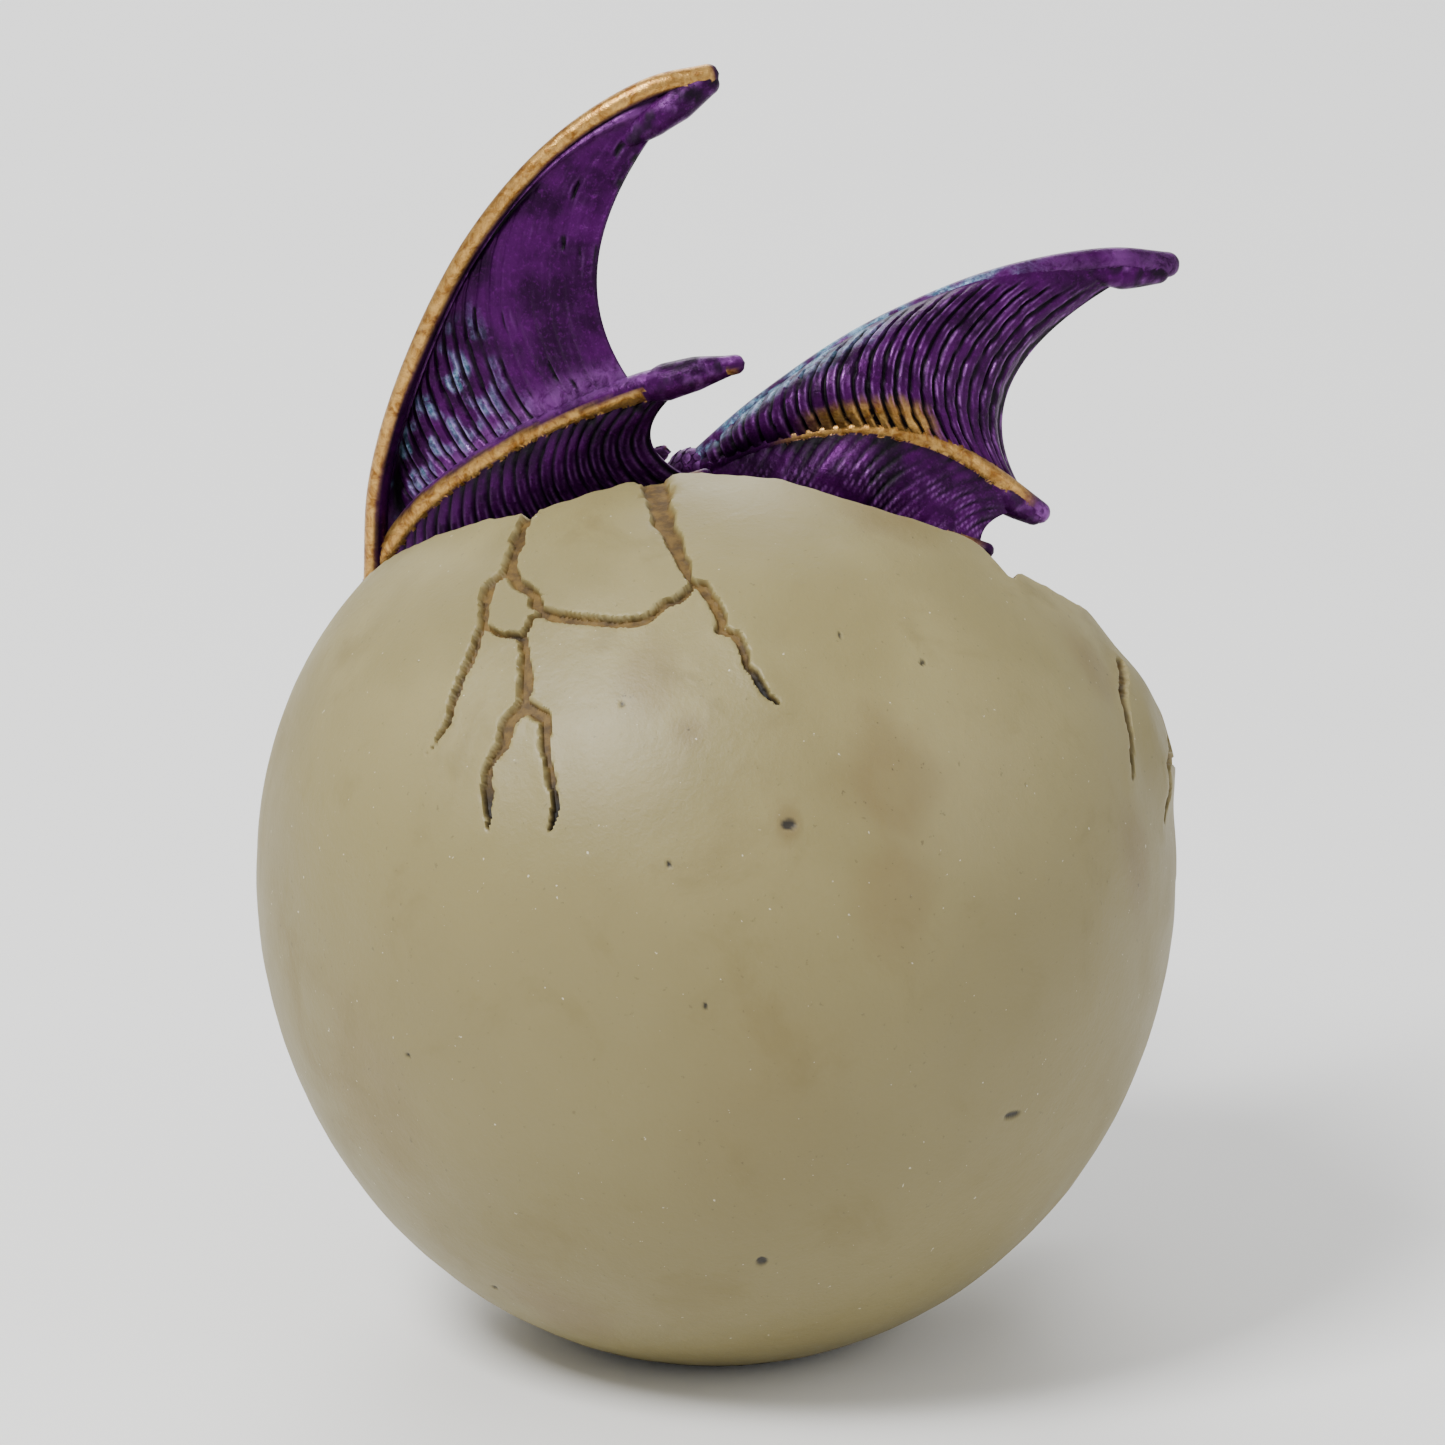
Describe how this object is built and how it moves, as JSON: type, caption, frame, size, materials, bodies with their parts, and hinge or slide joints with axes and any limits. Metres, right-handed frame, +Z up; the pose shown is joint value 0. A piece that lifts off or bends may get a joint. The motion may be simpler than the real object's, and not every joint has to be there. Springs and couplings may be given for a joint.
{
  "type": "bubbling aquarium ornament",
  "caption": "Cast resin egg with a hatching winged dragon; air from a hose barb collects inside and lifts the dragon's head as it bubbles.",
  "frame": {"origin": "centre of the flat underside of the foot pad, on the surface the ornament stands on", "axes": "+Z up through the egg, -Y towards the open side and the dragon's head, +X to the side of the taller wing"},
  "size_m": [0.0927, 0.1064, 0.1294],
  "materials": {
    "shell_resin": "cast polyresin tinted ivory, waxy satin with a brown wash in the cracks",
    "wing_paint": "cast resin, pearl purple with gold ribs and a black wash",
    "scale_paint": "cast resin, dark pearl purple scales with a black wash",
    "nest_paint": "cast resin rockwork, umber with a tan dry brush",
    "eye_glass": "clear coated amber bead",
    "pin_steel": "drawn stainless wire",
    "silicone": "moulded silicone, matt",
    "clear_hose": "soft clear vinyl",
    "fitting_plastic": "injection moulded, fine satin",
    "air_stone": "bonded mineral grains, rough and porous"
  },
  "bodies": {
    "root": {"egg_shell": "shell_resin", "shelf_ring": "shell_resin", "nest_floor": "nest_paint", "torso": "scale_paint", "wing_left": "wing_paint", "wing_right": "wing_paint", "wing_pin_left": "pin_steel", "wing_pin_right": "pin_steel", "foreleg_left": "scale_paint", "foreleg_right": "scale_paint", "tail": "scale_paint", "lower_jaw": "scale_paint", "head_hinge_pin": "pin_steel", "inlet_grommet": "silicone", "air_inlet": "fitting_plastic", "air_tube": "clear_hose", "stone_nipple": "fitting_plastic", "air_stone": "air_stone"},
    "head": {"upper_head": "scale_paint", "eye_left": "eye_glass", "eye_right": "eye_glass"},
    "foot_plug": {"base_cover": "fitting_plastic", "cover_seal": "silicone", "base_pad": "silicone"}
  },
  "joints": [
    {"name": "head_lift", "type": "hinge", "parent": "root", "child": "head", "pos_m": [0.015, -0.034, 0.074], "axis": [-0.9659, -0.2588, 0], "range_deg": [0, 22]},
    {"name": "cover_pull", "type": "slide", "parent": "root", "child": "foot_plug", "axis": [0, 0, -1], "range_m": [0, 0.03]}
  ]
}
